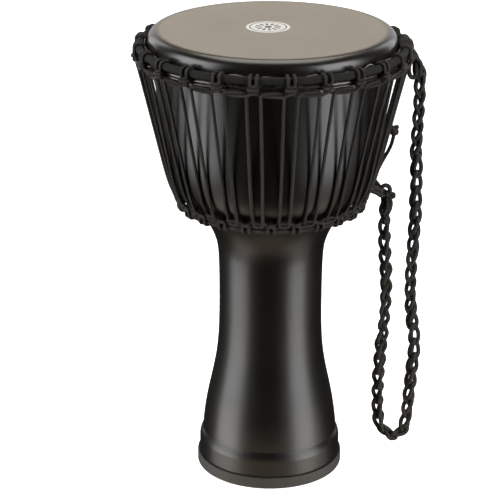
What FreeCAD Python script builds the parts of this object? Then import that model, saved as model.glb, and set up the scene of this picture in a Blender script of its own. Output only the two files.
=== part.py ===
"""A rope-tuned djembe with a synthetic goblet shell and head, in millimetres.

+Z is up and the origin is the middle of the foot, on the floor. The front is -Y and the carry rope hangs at +X.
Angles round the drum are degrees from the front, growing towards +X.
"""

import FreeCAD, Part
import math
import os

Vector = FreeCAD.Vector
UP = Vector(0, 0, 1)

# Driving dimensions
HEAD_Z = 610.0
HEAD_R = 160.5
SHOULDER_R = 13.0
FILM = 1.2
WALL = 5.0
ROPE = 4.4
COUNT = 24
STEP = 360.0 / COUNT

# Shell: outside radius at each height, from above the foot's flare to the mouth
SHELL_OUTSIDE = [
    (50, 91.3), (66, 89.9), (97, 85.4), (133, 77.7), (166, 72.0), (205, 69.3), (252, 68.9), (300, 69.8),
    (320, 72.0), (340, 79.0), (358, 89.5), (380, 108.3), (400, 127.0), (428, 138.5), (480, 147.0),
    (540, 151.4), (602, 154.6),
]
FOOT_R = 95.5
FLARE_BOTTOM_Z = 38.0
MOUTH_TOP_Z = HEAD_Z - FILM - 0.6
MOUTH_EDGE_R = 149.8

# Rubber foot ring
FOOT_RING_R = 98.5
FOOT_RING_Z = 16.0
FOOT_RING_LIP = 3.0
FOOT_RING_FLOOR = 4.0

# Crown ring, its cloth tube and the flesh hoop, as (radius, height) of each centre line
CROWN = (171.5, 589.0)
CROWN_WIRE_R = 3.0
CROWN_WRAP_R = 5.2
HOOP = (166.5, 577.3)
HOOP_R = 3.0
CROWN_STRAND = (172.4, 570.5)
CROWN_STRAND_HALF = 5.4
CROWN_LEG_FOOT = 7.0

# Bottom ring and its loops
BOTTOM = (118.5, 379.5)
BOTTOM_WIRE_R = 3.0
BOTTOM_STRAND = (122.3, 388.5)
BOTTOM_STRAND_HALF = 3.4
BOTTOM_LEG_FOOT = 6.0
HITCH_HALF = 1.35

# Tuning rope: the upright strands stand this many degrees each side of a span's middle
UPRIGHT = 4.65
ROPE_TOP = (178.2, 574.9)
ROPE_LINE = [(141.1, 428.0), (135.4, 408.0), (131.3, 398.0)]
ROPE_FOOT = (127.0, 384.3)

# Carry rope: a chain sinnet that hangs in the plane Y = 0, as (x, y, z) from the crown down and back up
CARRY_D = 17.0
CARRY_ROUTE = [
    (190.5, 0, 581), (193.8, 0, 551), (192.6, 1, 510), (191.5, 0, 468), (189.4, -1, 424), (190.4, 0, 378),
    (191.9, 1, 338), (189.6, 0, 294), (189.0, -1, 252), (191.6, 0, 208), (195.8, 1, 166), (192.6, 0, 124),
    (191.8, 0, 90), (189.8, 0, 61), (184.0, 0, 34), (160.5, 0, 32), (149.6, 0, 58), (149.2, 0, 90),
    (149.0, -1, 128), (149.8, 0, 168), (153.0, 1, 214), (154.6, 0, 260), (153.4, 0, 306), (151.0, 0, 346),
    (152.8, 0, 378),
]
CARRY_KNOT = Vector(155.0, 0, 387)
KNOT_TURN_R = 6.3
KNOT_ROPE_R = 4.2

# Tail of the tuning rope
TAIL_KNOT = (158.2, 94.2, 473.0)
TAIL_LINE = [
    (159.6, 94.4, 467.0), (155.5, 95.5, 452.0), (146.0, 96.8, 430.0), (139.6, 97.5, 408.0), (135.2, 97.5, 396.5),
]

# Badge on the film
BADGE_R = 28.5
BADGE_THICK = 0.2
BADGE_CENTRE = (-6.0, 8.0)


def around(radius, degrees, height):
    """The point at a radius, an angle from the front and a height."""
    turn = math.radians(degrees)
    return Vector(radius * math.sin(turn), -radius * math.cos(turn), height)


def along_ring(degrees):
    """The direction of growing angle round the drum."""
    turn = math.radians(degrees)
    return Vector(math.cos(turn), math.sin(turn), 0)


def line(start, end):
    return Part.LineSegment(start, end).toShape()


def arc(start, middle, end):
    return Part.Arc(start, middle, end).toShape()


def section(radius, height):
    """A point of a section that is turned round the axis."""
    return Vector(radius, 0, height)


def turned(edges):
    """The solid that a closed section makes when it turns once round the axis."""
    return Part.Face(Part.Wire(edges)).revolve(Vector(0, 0, 0), UP, 360)


def closed_section(points):
    return [line(a, b) for a, b in zip(points, points[1:] + points[:1])]


def smooth(points):
    curve = Part.BSplineCurve()
    curve.interpolate(points)
    return curve


def ring(centre, radius):
    return Part.makeTorus(centre[0], radius, Vector(0, 0, centre[1]), UP)


def rounded_path(points):
    """Straight runs joined by tangent arcs, each as large as its two runs allow. Returns the edges and radii."""
    edges, radii = [], []
    start = points[0]
    for before, corner, after in zip(points, points[1:], points[2:]):
        back = (before - corner).normalize()
        ahead = (after - corner).normalize()
        half_turn = (math.pi - back.getAngle(ahead)) / 2
        reach = 0.45 * min((before - corner).Length, (after - corner).Length)
        radius = reach / math.tan(half_turn)
        to_centre = (back + ahead).normalize()
        crown = corner + to_centre * (radius / math.cos(half_turn) - radius)
        edges.append(line(start, corner + back * reach))
        edges.append(arc(corner + back * reach, crown, corner + ahead * reach))
        radii.append(radius)
        start = corner + ahead * reach
    edges.append(line(start, points[-1]))
    return edges, radii


def tube(points, diameter):
    """A round tube along the rounded path through some points."""
    edges, _ = rounded_path(points)
    path = Part.Wire(edges)
    end_circle = Part.makeCircle(diameter / 2, points[0], points[1] - points[0])
    return path.makePipeShell([Part.Wire(end_circle)], True, False)


def shell():
    outside = [section(r, z) for z, r in SHELL_OUTSIDE]
    outer = smooth(outside)
    inside = []
    for point in outside:
        rise = outer.tangent(outer.parameter(point))[0]
        inside.append(point + Vector(-rise.z, 0, rise.x) * WALL)
    inner = smooth(inside)
    foot_top = section(FOOT_R, FLARE_BOTTOM_Z)
    foot_low = section(FOOT_R, FOOT_RING_FLOOR)
    inner_low = section(FOOT_R - WALL, FOOT_RING_FLOOR)
    inner_top = section(FOOT_R - WALL, FLARE_BOTTOM_Z - 2)
    flare_middle = section(FOOT_R - 1.0, FLARE_BOTTOM_Z + 5.5)
    edge_top = section(MOUTH_EDGE_R, MOUTH_TOP_Z)
    round_over = section(outside[-1].x - 1.1, MOUTH_TOP_Z - 2.2)
    return turned([
        line(foot_low, foot_top),
        arc(foot_top, flare_middle, outside[0]),
        outer.toShape(),
        arc(outside[-1], round_over, edge_top),
        line(edge_top, inside[-1]),
        inner.toShape(),
        line(inside[0], inner_top),
        line(inner_top, inner_low),
        line(inner_low, foot_low),
    ])


def foot_ring():
    inner = FOOT_R - WALL
    return turned(closed_section([
        section(inner - FOOT_RING_LIP, 0),
        section(FOOT_RING_R, 0),
        section(FOOT_RING_R, FOOT_RING_Z),
        section(FOOT_R, FOOT_RING_Z),
        section(FOOT_R, FOOT_RING_FLOOR),
        section(inner, FOOT_RING_FLOOR),
        section(inner, FOOT_RING_Z),
        section(inner - FOOT_RING_LIP, FOOT_RING_Z),
    ]))


def drum_head():
    """A flat film, a round shoulder and a collar that ends in a flange on the flesh hoop."""
    flat_r = HEAD_R - SHOULDER_R
    shoulder_z = HEAD_Z - SHOULDER_R
    inner_round = SHOULDER_R - FILM
    diagonal = math.sqrt(0.5)
    skirt_r = HOOP[0] - HOOP_R - 1.0
    flange_low, flange_high = HOOP[1] - FILM / 2, HOOP[1] + FILM / 2
    return turned([
        line(section(0, HEAD_Z), section(flat_r, HEAD_Z)),
        arc(
            section(flat_r, HEAD_Z),
            section(flat_r + SHOULDER_R * diagonal, shoulder_z + SHOULDER_R * diagonal),
            section(HEAD_R, shoulder_z),
        ),
        line(section(HEAD_R, shoulder_z), section(skirt_r, flange_high)),
        line(section(skirt_r, flange_high), section(HOOP[0] - HOOP_R + 0.5, flange_high)),
        line(section(HOOP[0] - HOOP_R + 0.5, flange_high), section(HOOP[0] - HOOP_R + 0.5, flange_low)),
        line(section(HOOP[0] - HOOP_R + 0.5, flange_low), section(skirt_r - FILM, flange_low)),
        line(section(skirt_r - FILM, flange_low), section(HEAD_R - FILM, shoulder_z)),
        arc(
            section(HEAD_R - FILM, shoulder_z),
            section(flat_r + inner_round * diagonal, shoulder_z + inner_round * diagonal),
            section(flat_r, HEAD_Z - FILM),
        ),
        line(section(flat_r, HEAD_Z - FILM), section(0, HEAD_Z - FILM)),
        line(section(0, HEAD_Z - FILM), section(0, HEAD_Z)),
    ])


def crown_ring_wrap():
    return ring(CROWN, CROWN_WRAP_R).cut(ring(CROWN, CROWN_WIRE_R))


def head_badge():
    foot = Vector(BADGE_CENTRE[0], BADGE_CENTRE[1], HEAD_Z)
    return Part.makeCylinder(BADGE_R, BADGE_THICK, foot)


def hitches(centre, held_r, first):
    """Two turns of rope round a ring at each hitch, as separate solids."""
    turns = []
    for k in range(COUNT):
        for side in (-HITCH_HALF, HITCH_HALF):
            degrees = first + k * STEP + side * CROWN[0] / centre[0]
            middle = around(centre[0], degrees, centre[1])
            turns.append(Part.makeTorus(held_r + ROPE / 2, ROPE / 2, middle, along_ring(degrees)))
    return Part.makeCompound(turns)


def loops(leg_top, strand, strand_half, leg_half, first):
    """One strand of rope between each two hitches, on two short legs."""
    solids = []
    for k in range(COUNT):
        middle = first + k * STEP
        points = [
            around(leg_top[0], middle - leg_half, leg_top[1]),
            around(strand[0], middle - strand_half, strand[1]),
            around(strand[0], middle + strand_half, strand[1]),
            around(leg_top[0], middle + leg_half, leg_top[1]),
        ]
        solids.append(tube(points, ROPE))
    return Part.makeCompound(solids)


def tuning_rope(k):
    """One span: from the middle of a bottom loop up, over a crown loop, and down to the next bottom loop."""
    middle = k * STEP
    half = STEP / 2
    reach = ROPE_FOOT[0] * math.radians(half - UPRIGHT)
    left_end = around(ROPE_FOOT[0], middle - half, ROPE_FOOT[1])
    right_end = around(ROPE_FOOT[0], middle + half, ROPE_FOOT[1])
    line_down = [ROPE_TOP] + ROPE_LINE
    left_up = [around(r, middle - UPRIGHT, z) for r, z in reversed(line_down)]
    right_down = [around(r, middle + UPRIGHT, z) for r, z in line_down]
    points = [left_end, left_end + along_ring(middle - half) * reach] + left_up
    points += right_down + [right_end - along_ring(middle + half) * reach, right_end]
    return tube(points, ROPE)


def carry_rope():
    points = [Vector(*p) for p in CARRY_ROUTE]
    _, radii = rounded_path(points)
    solid = tube(points, CARRY_D)
    length = solid.Volume / (math.pi * CARRY_D**2 / 4)
    edges, _ = rounded_path(points)
    print("carry rope: radii", [round(r, 1) for r in radii])
    print("carry rope: centre line %.1f, volume over section %.1f" % (Part.Wire(edges).Length, length))
    return solid


def carry_rope_lower_knot():
    """A knot of two fat turns that cross."""
    upright = Part.makeTorus(KNOT_TURN_R, KNOT_ROPE_R, CARRY_KNOT, Vector(0, 1, 0))
    level = Part.makeTorus(KNOT_TURN_R, KNOT_ROPE_R, CARRY_KNOT, UP)
    return upright.fuse(level)


def carry_rope_top_loop():
    """The turn of rope round the crown ring that the chain starts from, with the short rope that leaves it."""
    middle = around(CROWN[0], 90, CROWN[1])
    turn = Part.makeTorus(CROWN_WRAP_R + ROPE / 2, ROPE / 2, middle, along_ring(90))
    outside = middle + Vector(CROWN_WRAP_R + ROPE / 2, 0, 0)
    stub = Part.makeCylinder(ROPE / 2, 8, outside, Vector(1, 0, 0))
    return turn.fuse(stub)


def lower_tie():
    """Two bights of rope, one over the other, that stand out from the two upright strands at the right."""
    bights = []
    for height, radius in ((401.0, 132.6), (393.5, 129.4)):
        points = [
            around(radius, 90 - UPRIGHT, height),
            Vector(radius + 8.2, -8.5, height - 1),
            Vector(radius + 8.2, 8.5, height - 1),
            around(radius, 90 + UPRIGHT, height),
        ]
        bights.append(tube(points, ROPE))
    return Part.makeCompound(bights)


def tail_knot():
    centre = around(*TAIL_KNOT)
    knot = Part.makeSphere(6.4, centre)
    collar = Part.makeTorus(4.2, 2.6, centre - UP * 5.0, UP)
    return knot.fuse(collar)


def tail_rope():
    return tube([around(*p) for p in TAIL_LINE], ROPE)


def nodes():
    yield "shell", shell()
    yield "foot_ring", foot_ring()
    yield "bottom_ring", ring(BOTTOM, BOTTOM_WIRE_R)
    yield "bottom_hitches", hitches(BOTTOM, BOTTOM_WIRE_R, 0)
    bottom_leg = (BOTTOM[0] + 1.0, BOTTOM[1] + 5.0)
    yield "bottom_loops", loops(bottom_leg, BOTTOM_STRAND, BOTTOM_STRAND_HALF, BOTTOM_LEG_FOOT, STEP / 2)
    for k in range(COUNT):
        yield "tuning_rope_%02d" % (k + 1), tuning_rope(k)
    yield "drum_head", drum_head()
    yield "head_badge", head_badge()
    yield "flesh_hoop", ring(HOOP, HOOP_R)
    yield "crown_ring", ring(CROWN, CROWN_WIRE_R)
    yield "crown_ring_wrap", crown_ring_wrap()
    yield "crown_hitches", hitches(CROWN, CROWN_WRAP_R, STEP / 2)
    crown_leg = (CROWN[0], CROWN[1] - CROWN_WRAP_R - ROPE / 2)
    yield "crown_loops", loops(crown_leg, CROWN_STRAND, CROWN_STRAND_HALF, CROWN_LEG_FOOT, 0)
    yield "carry_rope", carry_rope()
    yield "carry_rope_top_loop", carry_rope_top_loop()
    yield "carry_rope_lower_knot", carry_rope_lower_knot()
    yield "lower_tie", lower_tie()
    yield "tail_knot", tail_knot()
    yield "tail_rope", tail_rope()


os.makedirs("parts", exist_ok=True)
for name, shape in nodes():
    box = shape.BoundBox
    print("%-22s %s solids %2d volume %9.1f z %.1f to %.1f" % (
        name, shape.isValid(), len(shape.Solids), shape.Volume, box.ZMin, box.ZMax,
    ))
    shape.exportStep("parts/%s.step" % name)
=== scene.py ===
"""The looks of a rope-tuned djembe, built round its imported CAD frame: metres, +Z up, and the front is -Y.

Sizes are written in millimetres and turned into metres by MM. Angles round the drum are degrees from the
front, growing towards +X, as in the CAD model.
"""

import math
import random

import bmesh
import bpy
import numpy as np
from mathutils import Matrix, Vector, noise


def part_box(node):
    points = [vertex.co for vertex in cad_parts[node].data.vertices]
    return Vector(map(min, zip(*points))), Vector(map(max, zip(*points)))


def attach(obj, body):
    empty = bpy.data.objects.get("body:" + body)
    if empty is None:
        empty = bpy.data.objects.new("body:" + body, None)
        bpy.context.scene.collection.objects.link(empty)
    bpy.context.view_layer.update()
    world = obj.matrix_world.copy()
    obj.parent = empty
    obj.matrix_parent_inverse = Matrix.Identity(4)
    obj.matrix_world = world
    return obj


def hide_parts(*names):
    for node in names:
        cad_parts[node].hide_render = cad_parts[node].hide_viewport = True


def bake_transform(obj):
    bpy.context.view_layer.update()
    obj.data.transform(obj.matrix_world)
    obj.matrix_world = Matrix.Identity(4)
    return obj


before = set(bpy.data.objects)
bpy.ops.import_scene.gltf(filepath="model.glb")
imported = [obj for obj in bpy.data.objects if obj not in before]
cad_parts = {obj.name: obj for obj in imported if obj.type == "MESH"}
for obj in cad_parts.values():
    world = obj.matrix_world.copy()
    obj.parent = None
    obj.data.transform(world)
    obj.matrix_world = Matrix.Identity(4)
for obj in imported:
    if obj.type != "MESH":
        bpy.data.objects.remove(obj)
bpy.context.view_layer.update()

MM = 0.001
SEED = 24
draw = random.Random(SEED)

# Crown ring and bottom ring, as (radius, height) of each centre line in millimetres
CROWN = (171.5, 589.0)
BOTTOM = (118.5, 379.5)
WRAP_R = 5.2
WIRE_R = 3.0

# Rope diameters: the CAD model's, and the swollen looks of the slacker ropes
ROPE = 4.4
ROPE_LOOK = 4.7
CHAIN_ROPE = 6.4
KNOT_ROPE = 6.4
TAIL_ROPE = 5.4

# Lacing: how many hitches a ring has, and degrees from a span's or a hitch's middle to its two ropes
COUNT = 24
STEP = 360.0 / COUNT
UPRIGHT = 4.65
HITCH_HALF = 1.35

# Degrees that the tops of a span's two uprights stand from their usual places, by the span's number, and the
# share of it at the bend above the waist
LEANS = {4: (0, -4.6), 20: (4.3, 0)}
LEAN_AT_BEND = 0.11

# First and last degrees of the slack turns that lie under the crown wrap, beside the leaning uprights
SPARE_TURNS = [(291.8, 300.6), (59.4, 68.2)]

# Head and foot
HEAD_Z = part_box("drum_head")[1].z / MM
HEAD_R = 160.5
SHOULDER_R = 13.0
FILM = 1.2
SKIRT = (162.5, 577.3)
FOOT_RING_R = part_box("foot_ring")[1].x / MM
FOOT_RING_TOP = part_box("foot_ring")[1].z / MM
FOOT_OUTSIDE = 95.5
FOOT_INSIDE = 90.5
FOOT_LIP_R = 87.5

# Route of the carry rope in millimetres: the CAD model's control points, but for the first few, which start
# lower and nearer to the drum, where the ropes from the crown ring lead into the chain
CARRY_ROUTE = [
    (184.0, -1, 572.5), (189.0, 0, 561.5), (193.0, 0, 547), (192.8, 1, 510), (191.5, 0, 468),
    (189.4, -1, 424), (190.4, 0, 378), (191.9, 1, 338), (189.6, 0, 294), (189.0, -1, 252),
    (191.6, 0, 208), (195.8, 1, 166), (192.6, 0, 124), (191.8, 0, 90), (189.8, 0, 61),
    (184.0, 0, 34), (160.5, 0, 32), (149.6, 0, 58), (149.2, 0, 90), (149.0, -1, 128),
    (149.8, 0, 168), (153.0, 1, 214), (154.6, 0, 260), (153.4, 0, 306), (151.0, 0, 346),
    (152.8, 0, 378),
]

# Braid of every rope: diamonds round it, the length of one, its depth, and the mesh that carries it
BRAID_ROUND = 4
BRAID_PITCH = 2.7
BRAID_DEPTH = 0.28
ROPE_SIDES = 12
ROPE_SPACING = 0.85

# A rounded rope end: its width against the rope's, and how fast it swells
END_WIDTH = 0.5
END_SWELL = 1.4


# ---------------------------------------------------------------- camera, stage and lights

def make_camera():
    """The camera stands in front of the drum, a little above its head, and looks down at it."""
    distance, height, pitch, roll = 2.5637, 1.2755, 0.3595, 0.0086
    data = bpy.data.cameras.new("camera")
    data.lens = 150.2
    data.sensor_width = 36.0
    data.shift_x = -0.0506
    camera = bpy.data.objects.new("camera", data)
    bpy.context.scene.collection.objects.link(camera)
    turn = Matrix.Rotation(math.pi / 2 - pitch, 4, "X") @ Matrix.Rotation(roll, 4, "Z")
    camera.matrix_world = Matrix.Translation((0, -distance, height)) @ turn
    bpy.context.scene.camera = camera


def softbox(name, size, power, azimuth, elevation, distance, target=(0, 0, 0.4), tint=(1, 1, 1)):
    """A rectangular light that faces the target, in metres, watts and degrees.

    The azimuth is measured like the drum's angles.
    """
    data = bpy.data.lights.new(name, "AREA")
    data.shape = "RECTANGLE"
    data.size, data.size_y = size
    data.energy = power
    data.color = tint
    light = bpy.data.objects.new(name, data)
    bpy.context.scene.collection.objects.link(light)
    a, e = math.radians(azimuth), math.radians(elevation)
    offset = Vector((math.sin(a) * math.cos(e), -math.cos(a) * math.cos(e), math.sin(e)))
    light.location = Vector(target) + offset * distance
    light.rotation_euler = offset.to_track_quat("Z", "Y").to_euler()
    light.visible_camera = False


def make_lights():
    """Soft boxes beside, behind and above the drum, and faint glows from the pale floor."""
    softbox("overhead", (1.7, 1.6), 29.5, 180, 78, 1.7, (0, 0, 0.6), (1.0, 0.96, 0.90))
    softbox("left_strip", (1.6, 2.6), 62, -74, 2, 2.0)
    softbox("right_strip", (1.4, 2.6), 60, 60, 2, 2.0)
    softbox("floor_glow", (0.9, 0.22), 0.42, 0, -67, 0.5, (0, 0, 0.43), (1.0, 0.82, 0.62))
    softbox("low_left", (0.36, 0.3), 0.36, -70, -48, 0.6, (0, 0, 0.36), (1.0, 0.90, 0.78))
    softbox("low_right", (0.36, 0.3), 0.31, 70, -48, 0.6, (0, 0, 0.36), (1.0, 0.90, 0.78))
    softbox("back_left", (0.7, 2.0), 8, -140, 12, 2.2)
    softbox("back_right", (0.7, 2.0), 8, 140, 12, 2.2)
    softbox("back_wall", (2.4, 1.6), 10, 180, 8, 2.6)
    world = bpy.data.worlds.new("studio")
    world.use_nodes = True
    background = world.node_tree.nodes["Background"]
    background.inputs["Color"].default_value = (1.0, 0.86, 0.68, 1)
    background.inputs["Strength"].default_value = 0.018
    bpy.context.scene.world = world
    bpy.context.scene.view_settings.view_transform = "Standard"
    bpy.context.scene.view_settings.look = "None"


def make_stage():
    """A plain pale floor that curves up into a backdrop all round."""
    floor_r, wall_h, bend, bend_steps = 6.0, 5.0, 1.5, 8
    profile = [(0, 0), (0.5, 0), (1.5, 0), (3.0, 0), (floor_r - bend, 0)]
    for i in range(1, bend_steps + 1):
        a = math.pi / 2 * i / bend_steps
        profile.append((floor_r - bend + bend * math.sin(a), bend - bend * math.cos(a)))
    profile.append((floor_r, wall_h))
    backdrop = lathe("backdrop", [(r / MM, z / MM) for r, z in profile], closed=False, segments=96)
    finish = Finish("backdrop_paper")
    finish.set(Base_Color=(0.93, 0.93, 0.92, 1), Roughness=0.9)
    finish.set(Emission_Color=(1, 1, 1, 1), Emission_Strength=0.92)
    finish.bump(finish.noise(60, 3), 0.02, 0.001)
    backdrop.data.materials.append(finish.data)
    backdrop.visible_glossy = False
    backdrop.visible_diffuse = False
    backdrop.visible_shadow = False


# ---------------------------------------------------------------- meshes

def around(radius, degrees, height):
    """The point at a radius, an angle from the front and a height, all from millimetres to metres."""
    turn = math.radians(degrees)
    return (radius * math.sin(turn) * MM, -radius * math.cos(turn) * MM, height * MM)


def metres(point):
    """A point in millimetres as a point in metres."""
    return tuple(c * MM for c in point)


def link(name, mesh, *materials):
    """A piece in the scene that shows a mesh, with its materials in order."""
    piece = bpy.data.objects.new(name, mesh)
    bpy.context.scene.collection.objects.link(piece)
    for finish in materials:
        mesh.materials.append(finish)
    return piece


def from_form(name, form, *materials):
    """The piece that a bmesh form makes."""
    mesh = bpy.data.meshes.new(name)
    form.to_mesh(mesh)
    form.free()
    return link(name, mesh, *materials)


def shade_smooth(mesh):
    """Smooth shading on every face of a mesh."""
    mesh.polygons.foreach_set("use_smooth", [True] * len(mesh.polygons))


def lathe(name, profile, closed=True, segments=192, pick=None):
    """The mesh that a profile of (radius, height) in millimetres makes when it turns round the drum's axis.

    pick gives a face's material index from its middle (radius, height).
    """
    edges = list(zip(profile, profile[1:]))
    if closed:
        edges.append((profile[-1], profile[0]))
    form = bmesh.new()
    rows = [[form.verts.new(around(r, 360 * i / segments, z)) for i in range(segments)] for r, z in profile]
    for j, (low, high) in enumerate(edges):
        lower, upper = rows[j], rows[(j + 1) % len(rows)]
        index = pick((low[0] + high[0]) / 2, (low[1] + high[1]) / 2) if pick else 0
        for i in range(segments):
            n = (i + 1) % segments
            face = form.faces.new((lower[i], lower[n], upper[n], upper[i]))
            face.material_index = index
            face.smooth = True
    bmesh.ops.remove_doubles(form, verts=form.verts, dist=1e-7)
    bmesh.ops.recalc_face_normals(form, faces=form.faces)
    return from_form(name, form)


def arc_points(centre, radius, start, end, count):
    """Points on an arc of a section, from one angle to another in degrees from +r towards +z."""
    points = []
    for i in range(count + 1):
        a = math.radians(start + (end - start) * i / count)
        points.append((centre[0] + radius * math.cos(a), centre[1] + radius * math.sin(a)))
    return points


def spline_points(controls, closed=False):
    """Points along the quadratic NURBS spline that has these control points, in metres."""
    curve = bpy.data.curves.new("route", "CURVE")
    curve.dimensions = "3D"
    spline = curve.splines.new("NURBS")
    spline.points.add(len(controls) - 1)
    for knot, control in zip(spline.points, controls):
        knot.co = (*control, 1)
    spline.order_u = 3
    spline.use_cyclic_u = closed
    spline.use_endpoint_u = not closed
    spline.resolution_u = 8
    holder = bpy.data.objects.new("route", curve)
    mesh = bpy.data.meshes.new_from_object(holder)
    points = np.array([v.co for v in mesh.vertices], float)
    bpy.data.meshes.remove(mesh)
    bpy.data.objects.remove(holder)
    bpy.data.curves.remove(curve)
    return points


def evenly(points, spacing, closed=False):
    """The same line with points an even distance apart, and its length."""
    if closed:
        points = np.vstack([points, points[:1]])
    along = np.concatenate([[0], np.cumsum(np.linalg.norm(np.diff(points, axis=0), axis=1))])
    count = max(3, round(along[-1] / spacing))
    marks = np.linspace(0, along[-1], count + 1)
    if closed:
        marks = marks[:-1]
    return np.column_stack([np.interp(marks, along, points[:, i]) for i in range(3)]), along[-1]


def tangents(points, closed):
    """The direction of a line at each of its points."""
    if closed:
        ahead = np.roll(points, -1, axis=0) - np.roll(points, 1, axis=0)
    else:
        ahead = np.gradient(points, axis=0)
    return ahead / np.linalg.norm(ahead, axis=1)[:, None]


def carried_frames(points, closed):
    """Two directions across the line at each point, carried along it without twist."""
    ahead = tangents(points, closed)
    seed = np.array([0.0, 0.0, 1.0]) if abs(ahead[0][2]) < 0.9 else np.array([1.0, 0.0, 0.0])
    side = np.cross(ahead[0], seed)
    side /= np.linalg.norm(side)
    sides = [side]
    for direction in ahead[1:]:
        side = side - direction * side.dot(direction)
        side /= np.linalg.norm(side)
        sides.append(side)
    sides = np.array(sides)
    return sides, np.cross(ahead, sides)


def braided_tube(line, closed, diameter, rounded):
    """A rope's vertices, ring after ring, and how many diamonds of braid lie before each ring."""
    points, length = evenly(line, ROPE_SPACING * MM, closed)
    rows = len(points)
    across, over = carried_frames(points, closed)
    diamonds = max(1, round(length / (BRAID_PITCH * MM)))
    along = np.arange(rows + 1) / (rows if closed else rows - 1) * diamonds
    turns = np.arange(ROPE_SIDES)[None, :] / ROPE_SIDES
    a = turns * BRAID_ROUND + along[:rows, None]
    b = turns * BRAID_ROUND - along[:rows, None]
    rise = (np.sin(math.pi * a) * np.sin(math.pi * b)) ** 2
    radius = diameter / 2 - BRAID_DEPTH * (1 - rise)
    if rounded:
        to_end = np.minimum(np.arange(rows), np.arange(rows)[::-1]) * ROPE_SPACING / diameter
        radius = radius * np.clip(END_WIDTH + to_end * END_SWELL, 0, 1)[:, None]
    angle = 2 * math.pi * turns
    ring = across[:, None, :] * np.cos(angle)[..., None] + over[:, None, :] * np.sin(angle)[..., None]
    return (points[:, None, :] + ring * radius[..., None] * MM).reshape(-1, 3), along


def tube_faces(along, closed, base):
    """A rope's faces, its vertices counted from base, and their corners' places in the braid's map."""
    rows = len(along) - 1
    turns = np.arange(ROPE_SIDES + 1) / ROPE_SIDES
    i = np.arange(rows if closed else rows - 1)[:, None]
    j = np.arange(ROPE_SIDES)[None, :]
    n, m = (i + 1) % rows, (j + 1) % ROPE_SIDES
    quads = np.stack([i * ROPE_SIDES + j, i * ROPE_SIDES + m, n * ROPE_SIDES + m, n * ROPE_SIDES + j], -1)
    faces = (quads.reshape(-1, 4) + base).tolist()
    u = np.stack(np.broadcast_arrays(along[i], along[i], along[i + 1], along[i + 1]), -1)
    v = np.stack(np.broadcast_arrays(turns[j], turns[j + 1], turns[j + 1], turns[j]), -1) * BRAID_ROUND
    corners = (len(i), ROPE_SIDES, 4)
    places = np.stack([np.broadcast_to(u, corners), np.broadcast_to(v, corners)], -1).reshape(-1, 2)
    if not closed:
        last = base + (rows - 1) * ROPE_SIDES
        faces.append([base + k for k in reversed(range(ROPE_SIDES))])
        faces.append([last + k for k in range(ROPE_SIDES)])
        places = np.vstack([places, np.zeros((2 * ROPE_SIDES, 2))])
    return faces, places


def rope_mesh(name, lines, diameter=ROPE_LOOK, rounded=False):
    """A braided rope round each line: (points, closed). Its surface follows the braid's diamonds."""
    vertices, faces, maps = [], [], []
    base = 0
    for line, closed in lines:
        tube, along = braided_tube(line, closed, diameter, rounded)
        sides, places = tube_faces(along, closed, base)
        vertices.append(tube)
        faces += sides
        maps.append(places)
        base += len(tube)
    mesh = bpy.data.meshes.new(name)
    mesh.from_pydata(np.vstack(vertices).tolist(), [], faces)
    layer = mesh.uv_layers.new(name="braid")
    layer.data.foreach_set("uv", np.vstack(maps).astype(np.float32).ravel())
    shade_smooth(mesh)
    mesh.validate()
    return link(name, mesh, LOOKS["rope"])


def rope_along(name, paths, body, replaced=(), rounded=True, closed=False, diameter=ROPE_LOOK):
    """A rope piece through each list of control points in metres, which rides on a body."""
    piece = rope_mesh(name, [(spline_points(path, closed), closed) for path in paths], diameter, rounded)
    if replaced:
        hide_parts(*replaced)
    if body:
        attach(piece, body)
    return piece


# ---------------------------------------------------------------- materials

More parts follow.
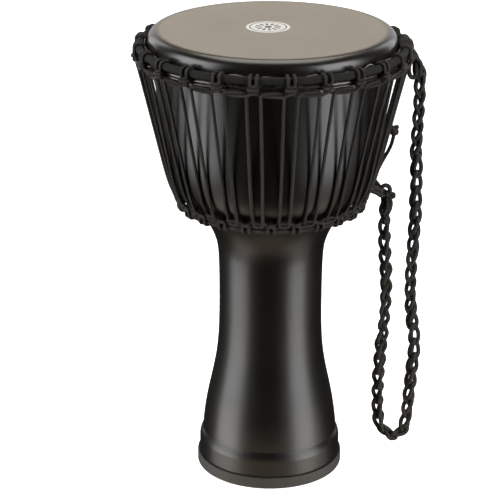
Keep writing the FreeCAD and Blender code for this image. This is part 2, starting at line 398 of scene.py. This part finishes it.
class Finish:
    """A material with one Principled shader, and the few node chains that the finishes share."""

    def __init__(self, name):
        self.data = bpy.data.materials.new(name)
        self.data.use_nodes = True
        self.nodes = self.data.node_tree.nodes
        self.links = self.data.node_tree.links
        self.shader = self.nodes["Principled BSDF"]
        self.place = self.nodes.new("ShaderNodeTexCoord").outputs["Object"]
        self.normal = None

    def set(self, **values):
        """Sets the shader's own sockets, named with _ for a space."""
        for name, value in values.items():
            self.shader.inputs[name.replace("_", " ")].default_value = value

    def noise(self, scale, detail=4, roughness=0.5, stretch=None):
        """A noise factor over the object's own space."""
        node = self.nodes.new("ShaderNodeTexNoise")
        node.inputs["Scale"].default_value = scale
        node.inputs["Detail"].default_value = detail
        node.inputs["Roughness"].default_value = roughness
        place = self.place
        if stretch:
            mapping = self.nodes.new("ShaderNodeMapping")
            mapping.inputs["Scale"].default_value = stretch
            self.links.new(self.place, mapping.inputs["Vector"])
            place = mapping.outputs["Vector"]
        self.links.new(place, node.inputs["Vector"])
        return node.outputs["Fac"]

    def math(self, operation, first, second=None):
        """What a Math node makes of sockets or numbers."""
        node = self.nodes.new("ShaderNodeMath")
        node.operation = operation
        for socket, value in zip(node.inputs, (first, second)):
            if value is None:
                continue
            if isinstance(value, (int, float)):
                socket.default_value = value
            else:
                self.links.new(value, socket)
        return node.outputs["Value"]

    def ramp(self, factor, stops):
        """Blends colours by a factor: stops are (position, (r, g, b))."""
        node = self.nodes.new("ShaderNodeValToRGB")
        elements = node.color_ramp.elements
        while len(elements) < len(stops):
            elements.new(0.5)
        for element, (position, colour) in zip(elements, stops):
            element.position = position
            element.color = (*colour, 1)
        self.links.new(factor, node.inputs["Fac"])
        return node.outputs["Color"]

    def between(self, factor, low, high, first=0.0, last=1.0):
        """Maps a factor that runs from first to last onto low to high."""
        node = self.nodes.new("ShaderNodeMapRange")
        node.inputs["From Min"].default_value = first
        node.inputs["From Max"].default_value = last
        node.inputs["To Min"].default_value = low
        node.inputs["To Max"].default_value = high
        self.links.new(factor, node.inputs["Value"])
        return node.outputs["Result"]

    def from_axis(self):
        """The distance from the drum's axis, in metres."""
        flat = self.nodes.new("ShaderNodeVectorMath")
        flat.operation = "MULTIPLY"
        flat.inputs[1].default_value = (1, 1, 0)
        self.links.new(self.place, flat.inputs[0])
        length = self.nodes.new("ShaderNodeVectorMath")
        length.operation = "LENGTH"
        self.links.new(flat.outputs["Vector"], length.inputs[0])
        return length.outputs["Value"]

    def times(self, one, two):
        """The product of two colours."""
        node = self.nodes.new("ShaderNodeMix")
        node.data_type = "RGBA"
        node.blend_type = "MULTIPLY"
        node.inputs[0].default_value = 1.0
        self.links.new(one, node.inputs[6])
        self.links.new(two, node.inputs[7])
        return node.outputs[2]

    def colour(self, socket):
        """Takes the base colour from a socket."""
        self.links.new(socket, self.shader.inputs["Base Color"])

    def roughness(self, factor, low, high):
        """Lets a factor move the roughness between two values."""
        self.links.new(self.between(factor, low, high), self.shader.inputs["Roughness"])

    def bump(self, height, strength, distance):
        """Adds a bump on top of the bumps so far."""
        node = self.nodes.new("ShaderNodeBump")
        node.inputs["Strength"].default_value = strength
        node.inputs["Distance"].default_value = distance
        self.links.new(height, node.inputs["Height"])
        if self.normal is not None:
            self.links.new(self.normal, node.inputs["Normal"])
        self.normal = node.outputs["Normal"]
        self.links.new(self.normal, self.shader.inputs["Normal"])


def shell_plastic():
    """Moulded satin plastic, nearly black, with a faint flow pattern and a fine grain."""
    finish = Finish("shell_plastic")
    cloud = finish.noise(9, 5)
    finish.colour(finish.ramp(cloud, [(0.3, (0.0014, 0.0011, 0.0008)), (0.7, (0.0030, 0.0024, 0.0018))]))
    finish.roughness(finish.noise(34, 6, 0.6), 0.31, 0.39)
    finish.bump(finish.noise(14, 3), 0.10, 0.0008)
    finish.bump(finish.noise(900, 2), 0.10, 0.0002)
    return finish.data


def head_film():
    """Matt synthetic film with a faint fibre mottle, and painted shade that darkens it towards the shoulder.
    """
    finish = Finish("head_film")
    cloud = finish.ramp(finish.noise(7, 4), [(0.3, (0.262, 0.234, 0.195)), (0.7, (0.292, 0.262, 0.221))])
    outward = finish.between(finish.from_axis(), 0, 1, 0.1435, 0.1478)
    # Painted shade: the film's colour darkens over its last few millimetres before the shoulder, where the
    # bend falls into shade.
    painted_edge_shade = finish.ramp(outward, [(0, (1, 1, 1)), (0.6, (0.90, 0.88, 0.86)), (1, (0.60, 0.55, 0.50))])
    finish.colour(finish.times(cloud, painted_edge_shade))
    finish.roughness(finish.noise(120, 4), 0.60, 0.72)
    finish.bump(finish.noise(420, 4, 0.7), 0.15, 0.0003)
    return finish.data


def collar_gloss():
    """The head's collar: glossy black, with a brown painted reflection on the shoulder that fades into the
    black, and slight waves from its forming.
    """
    finish = Finish("collar_gloss")
    cloud = finish.ramp(finish.noise(20, 4), [(0.3, (0.78, 0.78, 0.78)), (0.7, (1, 1, 1))])
    outward = finish.between(finish.from_axis(), 0, 1, 0.147, 0.156)
    # Painted reflection: brown on the shoulder, fading outwards into the collar's glossy black.
    stops = [(0, (0.120, 0.098, 0.078)), (0.5, (0.036, 0.028, 0.021)), (1, (0.007, 0.006, 0.005))]
    painted_shoulder_reflection = finish.ramp(outward, stops)
    finish.colour(finish.times(cloud, painted_shoulder_reflection))
    finish.roughness(finish.noise(46, 5), 0.26, 0.36)
    finish.set(Coat_Weight=0.35, Coat_Roughness=0.24)
    finish.bump(finish.noise(26, 2), 0.22, 0.0015)
    finish.bump(finish.noise(700, 2), 0.08, 0.0002)
    return finish.data


def cut_edge():
    """The trimmed edge of the head's film, paler where it was cut."""
    finish = Finish("cut_edge")
    finish.colour(finish.ramp(finish.noise(300, 3), [(0.3, (0.20, 0.18, 0.15)), (0.7, (0.32, 0.29, 0.25))]))
    finish.roughness(finish.noise(200, 3), 0.5, 0.7)
    finish.bump(finish.noise(900, 3), 0.3, 0.0002)
    return finish.data


def braided_rope():
    """Black braided rope: the strands of the braid follow the rope's own map, and its colour is painted
    light: shade in the grooves between strands and sheen on their crests.
    """
    finish = Finish("braided_rope")
    place = finish.nodes.new("ShaderNodeUVMap")
    place.uv_map = "braid"
    split = finish.nodes.new("ShaderNodeSeparateXYZ")
    finish.links.new(place.outputs["UV"], split.inputs["Vector"])
    total = finish.math("ADD", split.outputs["Y"], split.outputs["X"])
    gap = finish.math("SUBTRACT", split.outputs["Y"], split.outputs["X"])
    one = finish.math("ABSOLUTE", finish.math("SINE", finish.math("MULTIPLY", total, math.pi)))
    two = finish.math("ABSOLUTE", finish.math("SINE", finish.math("MULTIPLY", gap, math.pi)))
    cells = finish.math("MULTIPLY", one, two)
    fibres = finish.math("SINE", finish.math("MULTIPLY", total, math.pi * 6))
    fluff = finish.noise(1500, 4, 0.65)
    painted_braid_light = finish.math("MULTIPLY", cells, finish.between(fluff, 0.45, 1.25))
    # Painted shade and highlight: the braid's grooves are painted dark and its crests light, standing in for
    # shade between the strands and sheen on them.
    painted_groove_shade, flank, painted_crest_sheen = (0.0018, 0.0016, 0.0014), (0.0100, 0.0090, 0.0078), (0.125, 0.112, 0.096)
    finish.colour(finish.ramp(painted_braid_light, [(0.14, painted_groove_shade), (0.50, flank), (0.88, painted_crest_sheen)]))
    finish.roughness(fluff, 0.32, 0.52)
    finish.set(Specular_IOR_Level=0.30)
    finish.bump(cells, 0.9, 0.0009)
    finish.bump(fibres, 0.25, 0.0001)
    finish.bump(fluff, 0.25, 0.0002)
    return finish.data


def wrap_cloth():
    """Charcoal cloth tape round the crown ring."""
    finish = Finish("wrap_cloth")
    fleck = finish.noise(650, 5, 0.7)
    finish.colour(finish.ramp(fleck, [(0.3, (0.0035, 0.0035, 0.0034)), (0.75, (0.0150, 0.0148, 0.0140))]))
    finish.roughness(fleck, 0.75, 0.95)
    finish.set(Specular_IOR_Level=0.30)
    finish.bump(finish.noise(90, 4), 0.4, 0.0012)
    finish.bump(finish.noise(1100, 4), 0.5, 0.0004)
    return finish.data


def hoop_band():
    """Brown-black varnished binding round the flesh hoop, with a streaked gloss."""
    finish = Finish("hoop_band")
    streak = finish.noise(120, 5, 0.6, stretch=(1, 1, 5))
    finish.colour(finish.ramp(streak, [(0.3, (0.014, 0.010, 0.008)), (0.75, (0.050, 0.038, 0.029))]))
    finish.roughness(finish.noise(220, 4), 0.16, 0.36)
    finish.set(Coat_Weight=0.5, Coat_Roughness=0.18)
    finish.bump(finish.noise(80, 4, 0.6), 0.6, 0.0018)
    return finish.data


def ring_steel():
    """Black-finished steel rod, worn a little through."""
    finish = Finish("ring_steel")
    wear = finish.noise(240, 6, 0.7)
    finish.colour(finish.ramp(wear, [(0.45, (0.030, 0.029, 0.028)), (0.8, (0.090, 0.086, 0.080))]))
    finish.roughness(wear, 0.30, 0.50)
    finish.set(Metallic=0.85)
    finish.bump(finish.noise(800, 3), 0.2, 0.0002)
    return finish.data


def foot_rubber():
    """Matt dark rubber with a fine pebbled grain."""
    finish = Finish("foot_rubber")
    cloud = finish.noise(40, 5)
    finish.colour(finish.ramp(cloud, [(0.3, (0.022, 0.0210, 0.0190)), (0.7, (0.032, 0.0300, 0.0270))]))
    finish.roughness(finish.noise(300, 4), 0.62, 0.80)
    finish.bump(finish.noise(1300, 3, 0.6), 0.4, 0.0003)
    return finish.data


def badge_print(name, light, dark):
    """Printing ink with a faint mottle between two shades."""
    finish = Finish(name)
    finish.colour(finish.ramp(finish.noise(500, 3), [(0.3, dark), (0.7, light)]))
    finish.roughness(finish.noise(250, 3), 0.35, 0.45)
    finish.bump(finish.noise(700, 2), 0.05, 0.0001)
    return finish.data


# ---------------------------------------------------------------- head

def make_head():
    """A matt film, a glossy black shoulder and a collar that runs down to the hoop."""
    flat_r = HEAD_R - SHOULDER_R
    low = HEAD_Z - SHOULDER_R
    centre = (flat_r, low)
    flange = SKIRT[1] + FILM / 2
    outside = [(r, HEAD_Z) for r in (0, 30, 60, 90, 115, 135, flat_r - 1.5)]
    outside += arc_points(centre, SHOULDER_R, 90, 0, 16)
    outside += [(HEAD_R + 0.9, low - 8), (SKIRT[0] - 0.5, flange + 3)]
    outside += [(SKIRT[0], flange), (SKIRT[0] + 1.5, flange)]
    inside = [(SKIRT[0] + 1.5, flange - FILM), (SKIRT[0] - FILM, flange - FILM), (HEAD_R - FILM, low)]
    inside += arc_points(centre, SHOULDER_R - FILM, 0, 90, 10)[1:]
    inside += [(r, HEAD_Z - FILM) for r in (100, 50, 0)]
    head = lathe("head_skin", outside + inside, closed=False, pick=lambda r, z: int(r > flat_r))
    head.data.materials.append(LOOKS["head_film"])
    head.data.materials.append(LOOKS["collar_gloss"])
    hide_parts("drum_head")
    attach(head, "head")


def make_trimmed_edge():
    """The film's thin, wavy edge inside the crown ring, pressed down at each hitch."""
    segments, half_thick, corners = 720, 0.3, 6
    foot_r, top_r, round_off = 163.2, 164.9, 1.1
    wave_high, wave_out, press_half, press_in = 4.6, 1.0, 2.3, 2.2
    top, low = CROWN[1] + 3.2, SKIRT[1] + 2
    form = bmesh.new()
    rings = []
    for i in range(segments):
        degrees = 360 * i / segments
        turn = math.radians(degrees)
        off = abs(degrees % STEP - STEP / 2)
        press = math.exp(-(off / press_half) ** 4)
        wave = noise.noise(Vector((math.sin(turn) * 9, math.cos(turn) * 9, 3)))
        height = (top + wave_high * wave) * (1 - press) + (low + 1.5) * press
        radius = top_r + wave_out * wave - press_in * press
        section = [
            (foot_r - half_thick, low), (radius - half_thick, height - round_off),
            (radius - half_thick * 0.7, height), (radius + half_thick * 0.7, height),
            (radius + half_thick, height - round_off), (foot_r + half_thick, low),
        ]
        rings.append([form.verts.new(around(r, degrees, z)) for r, z in section])
    for i in range(segments):
        here, there = rings[i], rings[(i + 1) % segments]
        for j in range(corners):
            m = (j + 1) % corners
            face = form.faces.new((here[j], there[j], there[m], here[m]))
            face.smooth = True
            face.material_index = int(1 <= j <= 3)
    bmesh.ops.recalc_face_normals(form, faces=form.faces)
    edge = from_form("head_trimmed_edge", form, LOOKS["collar_gloss"], LOOKS["cut_edge"])
    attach(edge, "head")


def make_badge():
    """A printed disc on the film: a ring and a plain sun of twelve rays."""
    low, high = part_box("head_badge")
    centre = (low + high) / 2
    outer = (high.x - low.x) / 2
    rings = [0, 0.14, 0.17, 0.30, 0.60, 0.63, 0.80, 0.86, 0.97, 1.0]
    segments, rays, ray_band, dark_bands, edge_drop = 144, 12, 3, (0, 1, 6), 0.08 * MM
    turns = [2 * math.pi * i / segments for i in range(segments)]
    form = bmesh.new()
    rows = []
    for share in rings:
        row = []
        for t in turns:
            x, y = centre.x + outer * share * math.cos(t), centre.y + outer * share * math.sin(t)
            row.append(form.verts.new((x, y, high.z - (edge_drop if share == 1.0 else 0))))
        rows.append(row)
    rows.append([form.verts.new((v.co.x, v.co.y, low.z)) for v in rows[-1]])
    for j in range(len(rows) - 1):
        for i in range(segments):
            n = (i + 1) % segments
            face = form.faces.new((rows[j][i], rows[j][n], rows[j + 1][n], rows[j + 1][i]))
            ray = j == ray_band and (i * rays / segments) % 1 < 0.5
            face.material_index = int(j in dark_bands or ray)
    bmesh.ops.remove_doubles(form, verts=form.verts, dist=1e-7)
    bmesh.ops.recalc_face_normals(form, faces=form.faces)
    badge = from_form("badge", form, LOOKS["badge_white"], LOOKS["badge_dark"])
    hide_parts("head_badge")
    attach(badge, "head")


def make_hoop():
    """Two strands of binding, one over the other, round the head's edge."""
    hoop_r, strand_r, wobble_most = 167.5, 2.3, 0.35
    profiles = [arc_points((hoop_r, z), strand_r, 0, 342, 19) for z in (579.6, 575.2)]
    parts = [lathe("hoop_part", profile, segments=288) for profile in profiles]
    form = bmesh.new()
    for part in parts:
        form.from_mesh(part.data)
        bpy.data.objects.remove(part)
    for vertex in form.verts:
        turn = math.atan2(vertex.co.x, -vertex.co.y)
        spot = Vector((vertex.co.x * 60, vertex.co.y * 60, vertex.co.z * 30))
        wobble = noise.noise(spot) * wobble_most * MM
        vertex.co.z += wobble
        vertex.co.x += math.sin(turn) * wobble
        vertex.co.y -= math.cos(turn) * wobble
    hoop = from_form("hoop_binding", form, LOOKS["hoop_band"])
    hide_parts("flesh_hoop")
    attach(hoop, "head")


def make_crown_wrap():
    """Cloth tape wound round the crown ring, each turn lapping the last."""
    major, minor, turns, lap, pucker_most, sink = 960, 20, 40, 0.45, 0.18, 0.1
    vertices, faces = [], []
    for i in range(major):
        for j in range(minor):
            phase = (i * turns / major + j / minor) % 1
            pucker = noise.noise(Vector((i * 0.11, j * 0.35, 7))) * pucker_most
            radius = WRAP_R - lap * phase ** 3 + pucker - sink
            a = 2 * math.pi * j / minor
            r, z = CROWN[0] + radius * math.cos(a), CROWN[1] + radius * math.sin(a)
            vertices.append(around(r, 360 * i / major, z))
            n, m = (i + 1) % major, (j + 1) % minor
            faces.append((i * minor + j, n * minor + j, n * minor + m, i * minor + m))
    mesh = bpy.data.meshes.new("crown_wrap")
    mesh.from_pydata(vertices, [], faces)
    shade_smooth(mesh)
    wrap = link("crown_wrap", mesh, LOOKS["wrap_cloth"])
    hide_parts("crown_ring_wrap")
    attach(wrap, "head")


# ---------------------------------------------------------------- lacing

def shaken(radius, degrees, height, amount=0.28):
    """A point round the drum, moved a little at random, as hand lacing is."""
    return around(
        radius + draw.uniform(-amount, amount),
        degrees + draw.uniform(-amount, amount) * 0.3,
        height + draw.uniform(-amount, amount),
    )


def hitch(ring, side, spread, centre, legs, drop):
    """Control points of a cow hitch round a ring, whose two legs cross in front on their way to the strands.

    side is how far the rope lies from the ring's centre line, and drop how far the strands lie from it, in
    sides. spread is how many degrees each turn stands from the hitch's centre. legs is -1 if they hang down,
    or 1.
    """
    r, z = ring

    def turn(degrees):
        return [
            (r + 0.10 * side, degrees, z + legs * 1.12 * side),
            (r - side, degrees, z + legs * side),
            (r - side, degrees, z - legs * side),
            (r + side, degrees, z - legs * side),
            (r + 1.03 * side, degrees, z + legs * 0.6 * side),
        ]

    def leg(out, aside, share):
        return (r + out * side, centre + aside * spread, z + legs * (drop - share) * side)

    bar = (r + 1.06 * side, z + legs * 0.98 * side)
    left, right = centre - spread, centre + spread
    points = [leg(0.98, -1.5, 0.30), leg(1.16, -0.5, 0.55), leg(1.14, 0.6, 0.78), leg(0.70, 1.2, 0.98)]
    points += turn(right)
    points += [(bar[0], right - 0.3 * spread, bar[1]), (bar[0], left + 0.3 * spread, bar[1])]
    points += reversed(turn(left))
    points += [leg(0.60, -1.2, 0.98), leg(0.66, -0.5, 0.78), leg(0.62, 0.5, 0.55), leg(0.55, 1.5, 0.30)]
    return [shaken(*p) for p in points]


def lace(ring, side, spread, first, legs, strand, out, half):
    """Control points of one rope round a ring: a hitch at every step, and a strand between each two.

    strand is the (radius, height) of a strand's near end, and out how much further out its far end stands.
    """
    controls = []
    drop = abs(strand[1] - ring[1]) / side
    for k in range(COUNT):
        centre = first + k * STEP
        controls += hitch(ring, side, spread, centre, legs, drop)
        middle = centre + STEP / 2
        controls.append(shaken(strand[0], middle - half, strand[1]))
        controls.append(shaken(strand[0] + out / 2, middle, strand[1] + legs * 0.4))
        controls.append(shaken(strand[0] + out, middle + half, strand[1]))
    return controls


def binding(ring, side, spread, centre, legs):
    """Control points of a turn that holds a hitch's two legs together just past the ring."""
    r, z = ring
    near, far = r + 0.25 * side, r + 1.42 * side
    low, high = z + legs * 1.55 * side, z + legs * 1.20 * side
    wide = 1.65 * spread
    return [
        shaken(far, centre - 0.6 * wide, low), shaken(far + 0.4, centre + 0.2 * wide, low),
        shaken(r + side, centre + wide, (low + high) / 2), shaken(near, centre + 0.3 * wide, high),
        shaken(near, centre - 0.3 * wide, high), shaken(r + side, centre - wide, (low + high) / 2),
    ]


def spare_turn(first, last):
    """A slack turn of rope that lies under the crown ring's wrap, between two angles."""
    middle = (first + last) / 2
    outer = [(175.4, first, 573.8), (176.2, middle, 574.6), (175.6, last, 575.4)]
    inner = [(171.2, last, 575.8), (171.0, middle, 574.8), (171.2, first, 574.0)]
    return [around(*p) for p in outer + inner]


def filler(radius, height):
    """Control points of a rope that lies along a ring."""
    return [shaken(radius, i * STEP / 2, height, 0.35) for i in range(2 * COUNT)]


def tuning_span(k):
    """A span of tuning rope: up in front of a loop's strand, over it, and down behind it at the right."""
    middle = k * STEP
    left, right = middle - UPRIGHT, middle + UPRIGHT
    sag = draw.uniform(-0.25, 0.25)
    lean_left, lean_right = LEANS.get(k, (0, 0))
    left_top, right_top = left + lean_left, right + lean_right
    left_bend, right_bend = left + sag + LEAN_AT_BEND * lean_left, right + sag + LEAN_AT_BEND * lean_right
    points = [
        (125.2, middle - STEP / 2, 383.8), (126.6, left - 0.5, 383.8), (127.7, left, 389.5),
        (131.4, left, 398.0), (135.5, left, 408.0), (141.1, left + sag * 0.5, 428.0),
        (144.4, left_bend, 441.5), (172.6, left_top + sag * 0.5, 560.0), (175.6, left_top, 570.0),
        (176.2, left_top + 0.4, 573.8), (175.6, middle, 575.0), (174.2, right_top - 0.4, 573.8),
        (173.7, right_top, 569.5),
        (171.6, right_top + sag * 0.5, 560.0), (144.2, right_bend, 441.5), (140.9, right + sag * 0.5, 428.0),
        (134.8, right, 408.0), (129.8, right, 398.0), (123.8, right, 389.5), (124.4, right + 0.5, 383.8),
        (125.2, middle + STEP / 2, 383.8),
    ]
    path = [around(*p) for p in points]
    span = rope_along("lacing_%02d" % (k + 1), [path], None, ["tuning_rope_%02d" % (k + 1)], rounded=False)
    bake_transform(span)


def make_lacing():
    """The hitches and loops of both rings, and the tuning rope's spans between them."""
    crown_side = WRAP_R + ROPE / 2 - 1.0
    crown = [lace(CROWN, crown_side, HITCH_HALF, STEP / 2, -1, (172.4, 570.4), 5.0, 5.3)]
    crown += [binding(CROWN, crown_side, HITCH_HALF, STEP / 2 + k * STEP, -1) for k in range(COUNT)]
    crown += [spare_turn(first, last) for first, last in SPARE_TURNS]
    replaced = ["crown_hitches", "crown_loops"]
    rope_along("crown_lacing", crown, "head", replaced, rounded=False, closed=True)
    spread = HITCH_HALF * CROWN[0] / BOTTOM[0]
    bottom = [lace(BOTTOM, WIRE_R + ROPE / 2 + 1.0, spread, 0, 1, (123.4, 388.4), 4.2, 3.9)]
    bottom += [filler(121.9, 382.6), filler(121.6, 377.6), filler(118.4, 374.6)]
    replaced = ["bottom_hitches", "bottom_loops"]
    rope_along("bottom_lacing", bottom, "root", replaced, rounded=False, closed=True)
    for k in range(COUNT):
        tuning_span(k)


# ---------------------------------------------------------------- carry rope and knots

# One stitch of the chain: its length, and its form as (across, depth, share of a stitch along the chain)
STITCH = 21.5
STITCH_FORM = [
    (-2.4, -2.2, 0.00), (-2.3, 1.8, 0.20), (-3.0, 5.0, 0.44), (-6.0, 4.4, 0.78), (-6.4, 1.6, 1.10),
    (-3.4, -0.2, 1.42), (3.4, -0.2, 1.42), (6.4, 1.6, 1.10), (6.0, 4.4, 0.78), (3.0, 5.0, 0.44),
    (2.3, 1.8, 0.20), (2.4, -2.2, 0.00), (1.5, -5.2, 0.42),
]

# How the stitches turn about the chain: to and fro, from one to the next, and along each, in radians
STITCH_SWING = 0.60
SWING_RATE = 0.62
STITCH_TWIST = 0.18

# How far hand work moves a stitch: its turn in radians, and its points along and aside in millimetres
LOOSE_TURN = 0.25
LOOSE_ALONG = 0.5
LOOSE_ASIDE = 0.3


def chain_controls(route):
    """Control points of the rope that is chained along the route, one stitch after another."""
    points, length = evenly(route, 1.0 * MM)
    along = np.linspace(0, length / MM, len(points))
    ahead = tangents(points, False)
    side = np.cross(ahead, [0.0, 1.0, 0.0])
    side /= np.linalg.norm(side, axis=1)[:, None]
    front = np.cross(side, ahead)
    room = length / MM - 0.5 * STITCH
    stitches = int(room // STITCH)
    stitch = room / stitches
    controls = []
    for i in range(stitches):
        turn = STITCH_SWING * math.sin(SWING_RATE * i) + draw.uniform(-LOOSE_TURN, LOOSE_TURN)
        for across, depth, share in STITCH_FORM:
            mark = min((i + share) * stitch + draw.uniform(-LOOSE_ALONG, LOOSE_ALONG), length / MM)
            spot = [np.interp(mark, along, points[:, c]) for c in range(3)]
            sideways = np.array([np.interp(mark, along, side[:, c]) for c in range(3)])
            forward = np.array([np.interp(mark, along, front[:, c]) for c in range(3)])
            twist = turn + STITCH_TWIST * share
            a = across * math.cos(twist) - depth * math.sin(twist) + draw.uniform(-LOOSE_ASIDE, LOOSE_ASIDE)
            b = across * math.sin(twist) + depth * math.cos(twist) + draw.uniform(-LOOSE_ASIDE, LOOSE_ASIDE)
            controls.append(tuple(np.array(spot) + (sideways * a + forward * b) * MM))
    return controls


def trefoil(centre, reach, thick, tilt):
    """Control points of a knot whose rope crosses itself three times, flat on the plane that tilt turns."""
    rotate = Matrix.Rotation
    turn = rotate(tilt[2], 3, "Z") @ rotate(tilt[0], 3, "X") @ rotate(tilt[1], 3, "Y")
    count = 24
    points = []
    for i in range(count):
        t = 2 * math.pi * i / count
        x = (math.sin(t) + 2 * math.sin(2 * t)) * reach / 3
        y = (math.cos(t) - 2 * math.cos(2 * t)) * reach / 3
        flat = Vector((x, y, -math.sin(3 * t) * thick))
        points.append(tuple((Vector(centre) + turn @ flat) * MM))
    return points


def open_lines(paths):
    """An open line along each list of control points in millimetres, as rope_mesh takes them."""
    return [(spline_points([metres(p) for p in path]), False) for path in paths]


def make_carry_rope():
    """The chained spare rope, which hangs from the crown ring's right and comes back to the bottom ring."""
    route = spline_points([metres(p) for p in CARRY_ROUTE])
    chain = rope_along("carry_chain", [chain_controls(route)], None, ["carry_rope"], diameter=CHAIN_ROPE)
    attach(chain, "carry_rope")
    knot = make_lower_knot()
    top = make_top_loop()


def make_lower_knot():
    """The chain's last loop drawn up in a knot, with a ring of rope over it and a short end at its right."""
    knot = spline_points(trefoil((150.8, 0, 386.4), 6.0, 3.0, (math.pi / 2, 0, 0)), True)
    ring = [
        (144.4, 0, 386), (144.2, -3.5, 392), (146.0, -5, 399), (150.6, -5, 401.2), (155.6, -4.5, 398.5),
        (156.8, -3, 391), (154.5, 1, 383),
    ]
    end = [(153, 4, 384), (157, 1, 386.4), (160.5, -1, 387.2), (164.2, -1.5, 386.6)]
    left = [(148.5, 3, 386), (147.4, 3.5, 379), (149.0, 3.5, 370.5), (152.5, 3, 361)]
    right = [(155.5, -3.5, 385), (158.2, -4.5, 377.5), (157.6, -4, 369), (153.6, -2.5, 363)]
    across = [(152.5, -3, 386), (154.2, -5, 376), (152.4, -5, 367), (149.5, -3.5, 360)]
    fold = [(153, 2, 380.5), (157, 1.5, 381.6), (161, 0, 383.0), (163.6, -1.5, 385.4)]
    lines = [(knot, True)] + open_lines([ring, end, fold, left, right, across])
    piece = rope_mesh("carry_knot", lines, KNOT_ROPE, rounded=True)
    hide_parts("carry_rope_lower_knot")
    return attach(piece, "carry_rope")


def make_top_loop():
    """Two turns round the crown ring, the ropes that lead to the chain, and a bight that hangs beside it."""
    reach = WRAP_R + ROPE / 2
    turns = []
    for degrees in (88.6, 91.2):
        square = [(-reach, -reach), (-reach, reach), (reach, reach), (reach, -reach)]
        turns.append([around(CROWN[0] + r, degrees, CROWN[1] + z) for r, z in square])
    lead = [
        (171.5, -9, 588), (175.5, -10, 582), (181, -10, 577.5), (187, -10, 573.5), (191.5, -9, 567.0),
        (189.6, -8, 560.5), (190.6, -6, 552),
    ]
    second = [(175, 6, 590), (180, 3, 583), (185.5, 1, 576), (188.2, 2, 568), (188.4, 4, 558)]
    bight = [
        (183.0, -10, 577), (177.6, -11, 572.5), (175.2, -11, 563), (176.4, -10.5, 553), (180.6, -10, 548.4),
        (184.8, -9.5, 551.6), (185.8, -8.5, 559), (184.2, -8, 566), (186.6, -6, 573),
    ]
    lines = [(spline_points(turn, True), True) for turn in turns] + open_lines([lead, second, bight])
    piece = rope_mesh("carry_top_loop", lines, KNOT_ROPE)
    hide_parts("carry_rope_top_loop")
    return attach(piece, "head")


def tie_bight(radius, height, tip_radius, tip_height):
    """A bight from beside one upright out to the knot and back beside the other."""
    reach = UPRIGHT + 2.0
    one_side = [
        (radius - 1.5, 90 - reach + 0.4, height + 1.5), (radius + 3.4, 90 - reach - 0.3, height + 0.5),
        ((radius + tip_radius) / 2 + 2.0, 90 - reach + 2.6, (height + tip_height) / 2 + 1.0),
        (tip_radius, 90 - 2.0, tip_height),
    ]
    other = [(r, 180 - d, z) for r, d, z in reversed(one_side)]
    return [around(*p) for p in one_side + other]


def make_tie_and_tail():
    """The double rope that holds the lower knot, and the stopper knot with the tuning rope's taut end."""
    bights = [tie_bight(132.6, 401.5, 146.0, 390.5), tie_bight(130.2, 395.5, 145.0, 385.5)]
    rope_along("tie_bights", bights, "root", ["lower_tie"], diameter=KNOT_ROPE)
    centre = Vector(around(160.6, 93.0, 473.0)) / MM
    rope_along(
        "tail_end_knot", [trefoil(centre, 5.4, 2.8, (math.pi / 2, 0.4, 0.5))], "root", ["tail_knot"],
        rounded=False, closed=True, diameter=KNOT_ROPE,
    )
    tail = [
        (160.6, 93.6, 468.0), (159.6, 94.4, 457.0), (155.6, 95.4, 444.0), (147.6, 96.6, 428.0),
        (140.0, 97.4, 410.0), (135.4, 97.5, 396.5),
    ]
    rope_along("tail_end_rope", [[around(*p) for p in tail]], "root", ["tail_rope"], diameter=TAIL_ROPE)


# ---------------------------------------------------------------- foot

def make_foot_ring():
    """A rubber ring that cups the foot, with rounded edges and a shallow groove under it."""
    soft, brim, lip, heel, channel = 2.2, 1.4, 1.0, 1.2, 4.0
    profile = arc_points((FOOT_RING_R - soft, soft), soft, -90, 0, 6)
    profile += arc_points((FOOT_RING_R - brim, FOOT_RING_TOP - brim), brim, 0, 90, 5)
    profile += [
        (FOOT_OUTSIDE + 0.4, FOOT_RING_TOP), (FOOT_OUTSIDE, FOOT_RING_TOP - 0.5), (FOOT_OUTSIDE, channel),
        (FOOT_INSIDE, channel), (FOOT_INSIDE, FOOT_RING_TOP - 0.4),
    ]
    profile += arc_points((FOOT_LIP_R + lip, FOOT_RING_TOP - lip), lip, 90, 180, 4)
    profile += arc_points((FOOT_LIP_R + heel, heel), heel, 180, 270, 4)
    groove = [(91.5, 0), (92.0, 0.7), (94.0, 0.7), (94.5, 0)]
    profile += groove
    ring = lathe("foot_cushion", profile, segments=224)
    ring.data.materials.append(LOOKS["foot_rubber"])
    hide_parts("foot_ring")
    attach(ring, "root")


# ---------------------------------------------------------------- the whole drum

def finish_node(node, look):
    """Gives a CAD node that stays its finish."""
    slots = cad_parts[node].material_slots
    for slot in slots:
        slot.material = look
    if not slots:
        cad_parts[node].data.materials.append(look)


LOOKS = {
    "shell": shell_plastic(),
    "head_film": head_film(),
    "collar_gloss": collar_gloss(),
    "cut_edge": cut_edge(),
    "rope": braided_rope(),
    "wrap_cloth": wrap_cloth(),
    "hoop_band": hoop_band(),
    "ring_steel": ring_steel(),
    "foot_rubber": foot_rubber(),
    "badge_white": badge_print("badge_white", (0.80, 0.79, 0.76), (0.74, 0.73, 0.70)),
    "badge_dark": badge_print("badge_dark", (0.030, 0.030, 0.030), (0.020, 0.020, 0.020)),
}

make_camera()
make_carry_rope()
make_lights()
make_stage()
finish_node("shell", LOOKS["shell"])
finish_node("crown_ring", LOOKS["ring_steel"])
finish_node("bottom_ring", LOOKS["ring_steel"])
make_head()
make_trimmed_edge()
make_badge()
make_hoop()
make_crown_wrap()
make_lacing()
make_tie_and_tail()
make_foot_ring()
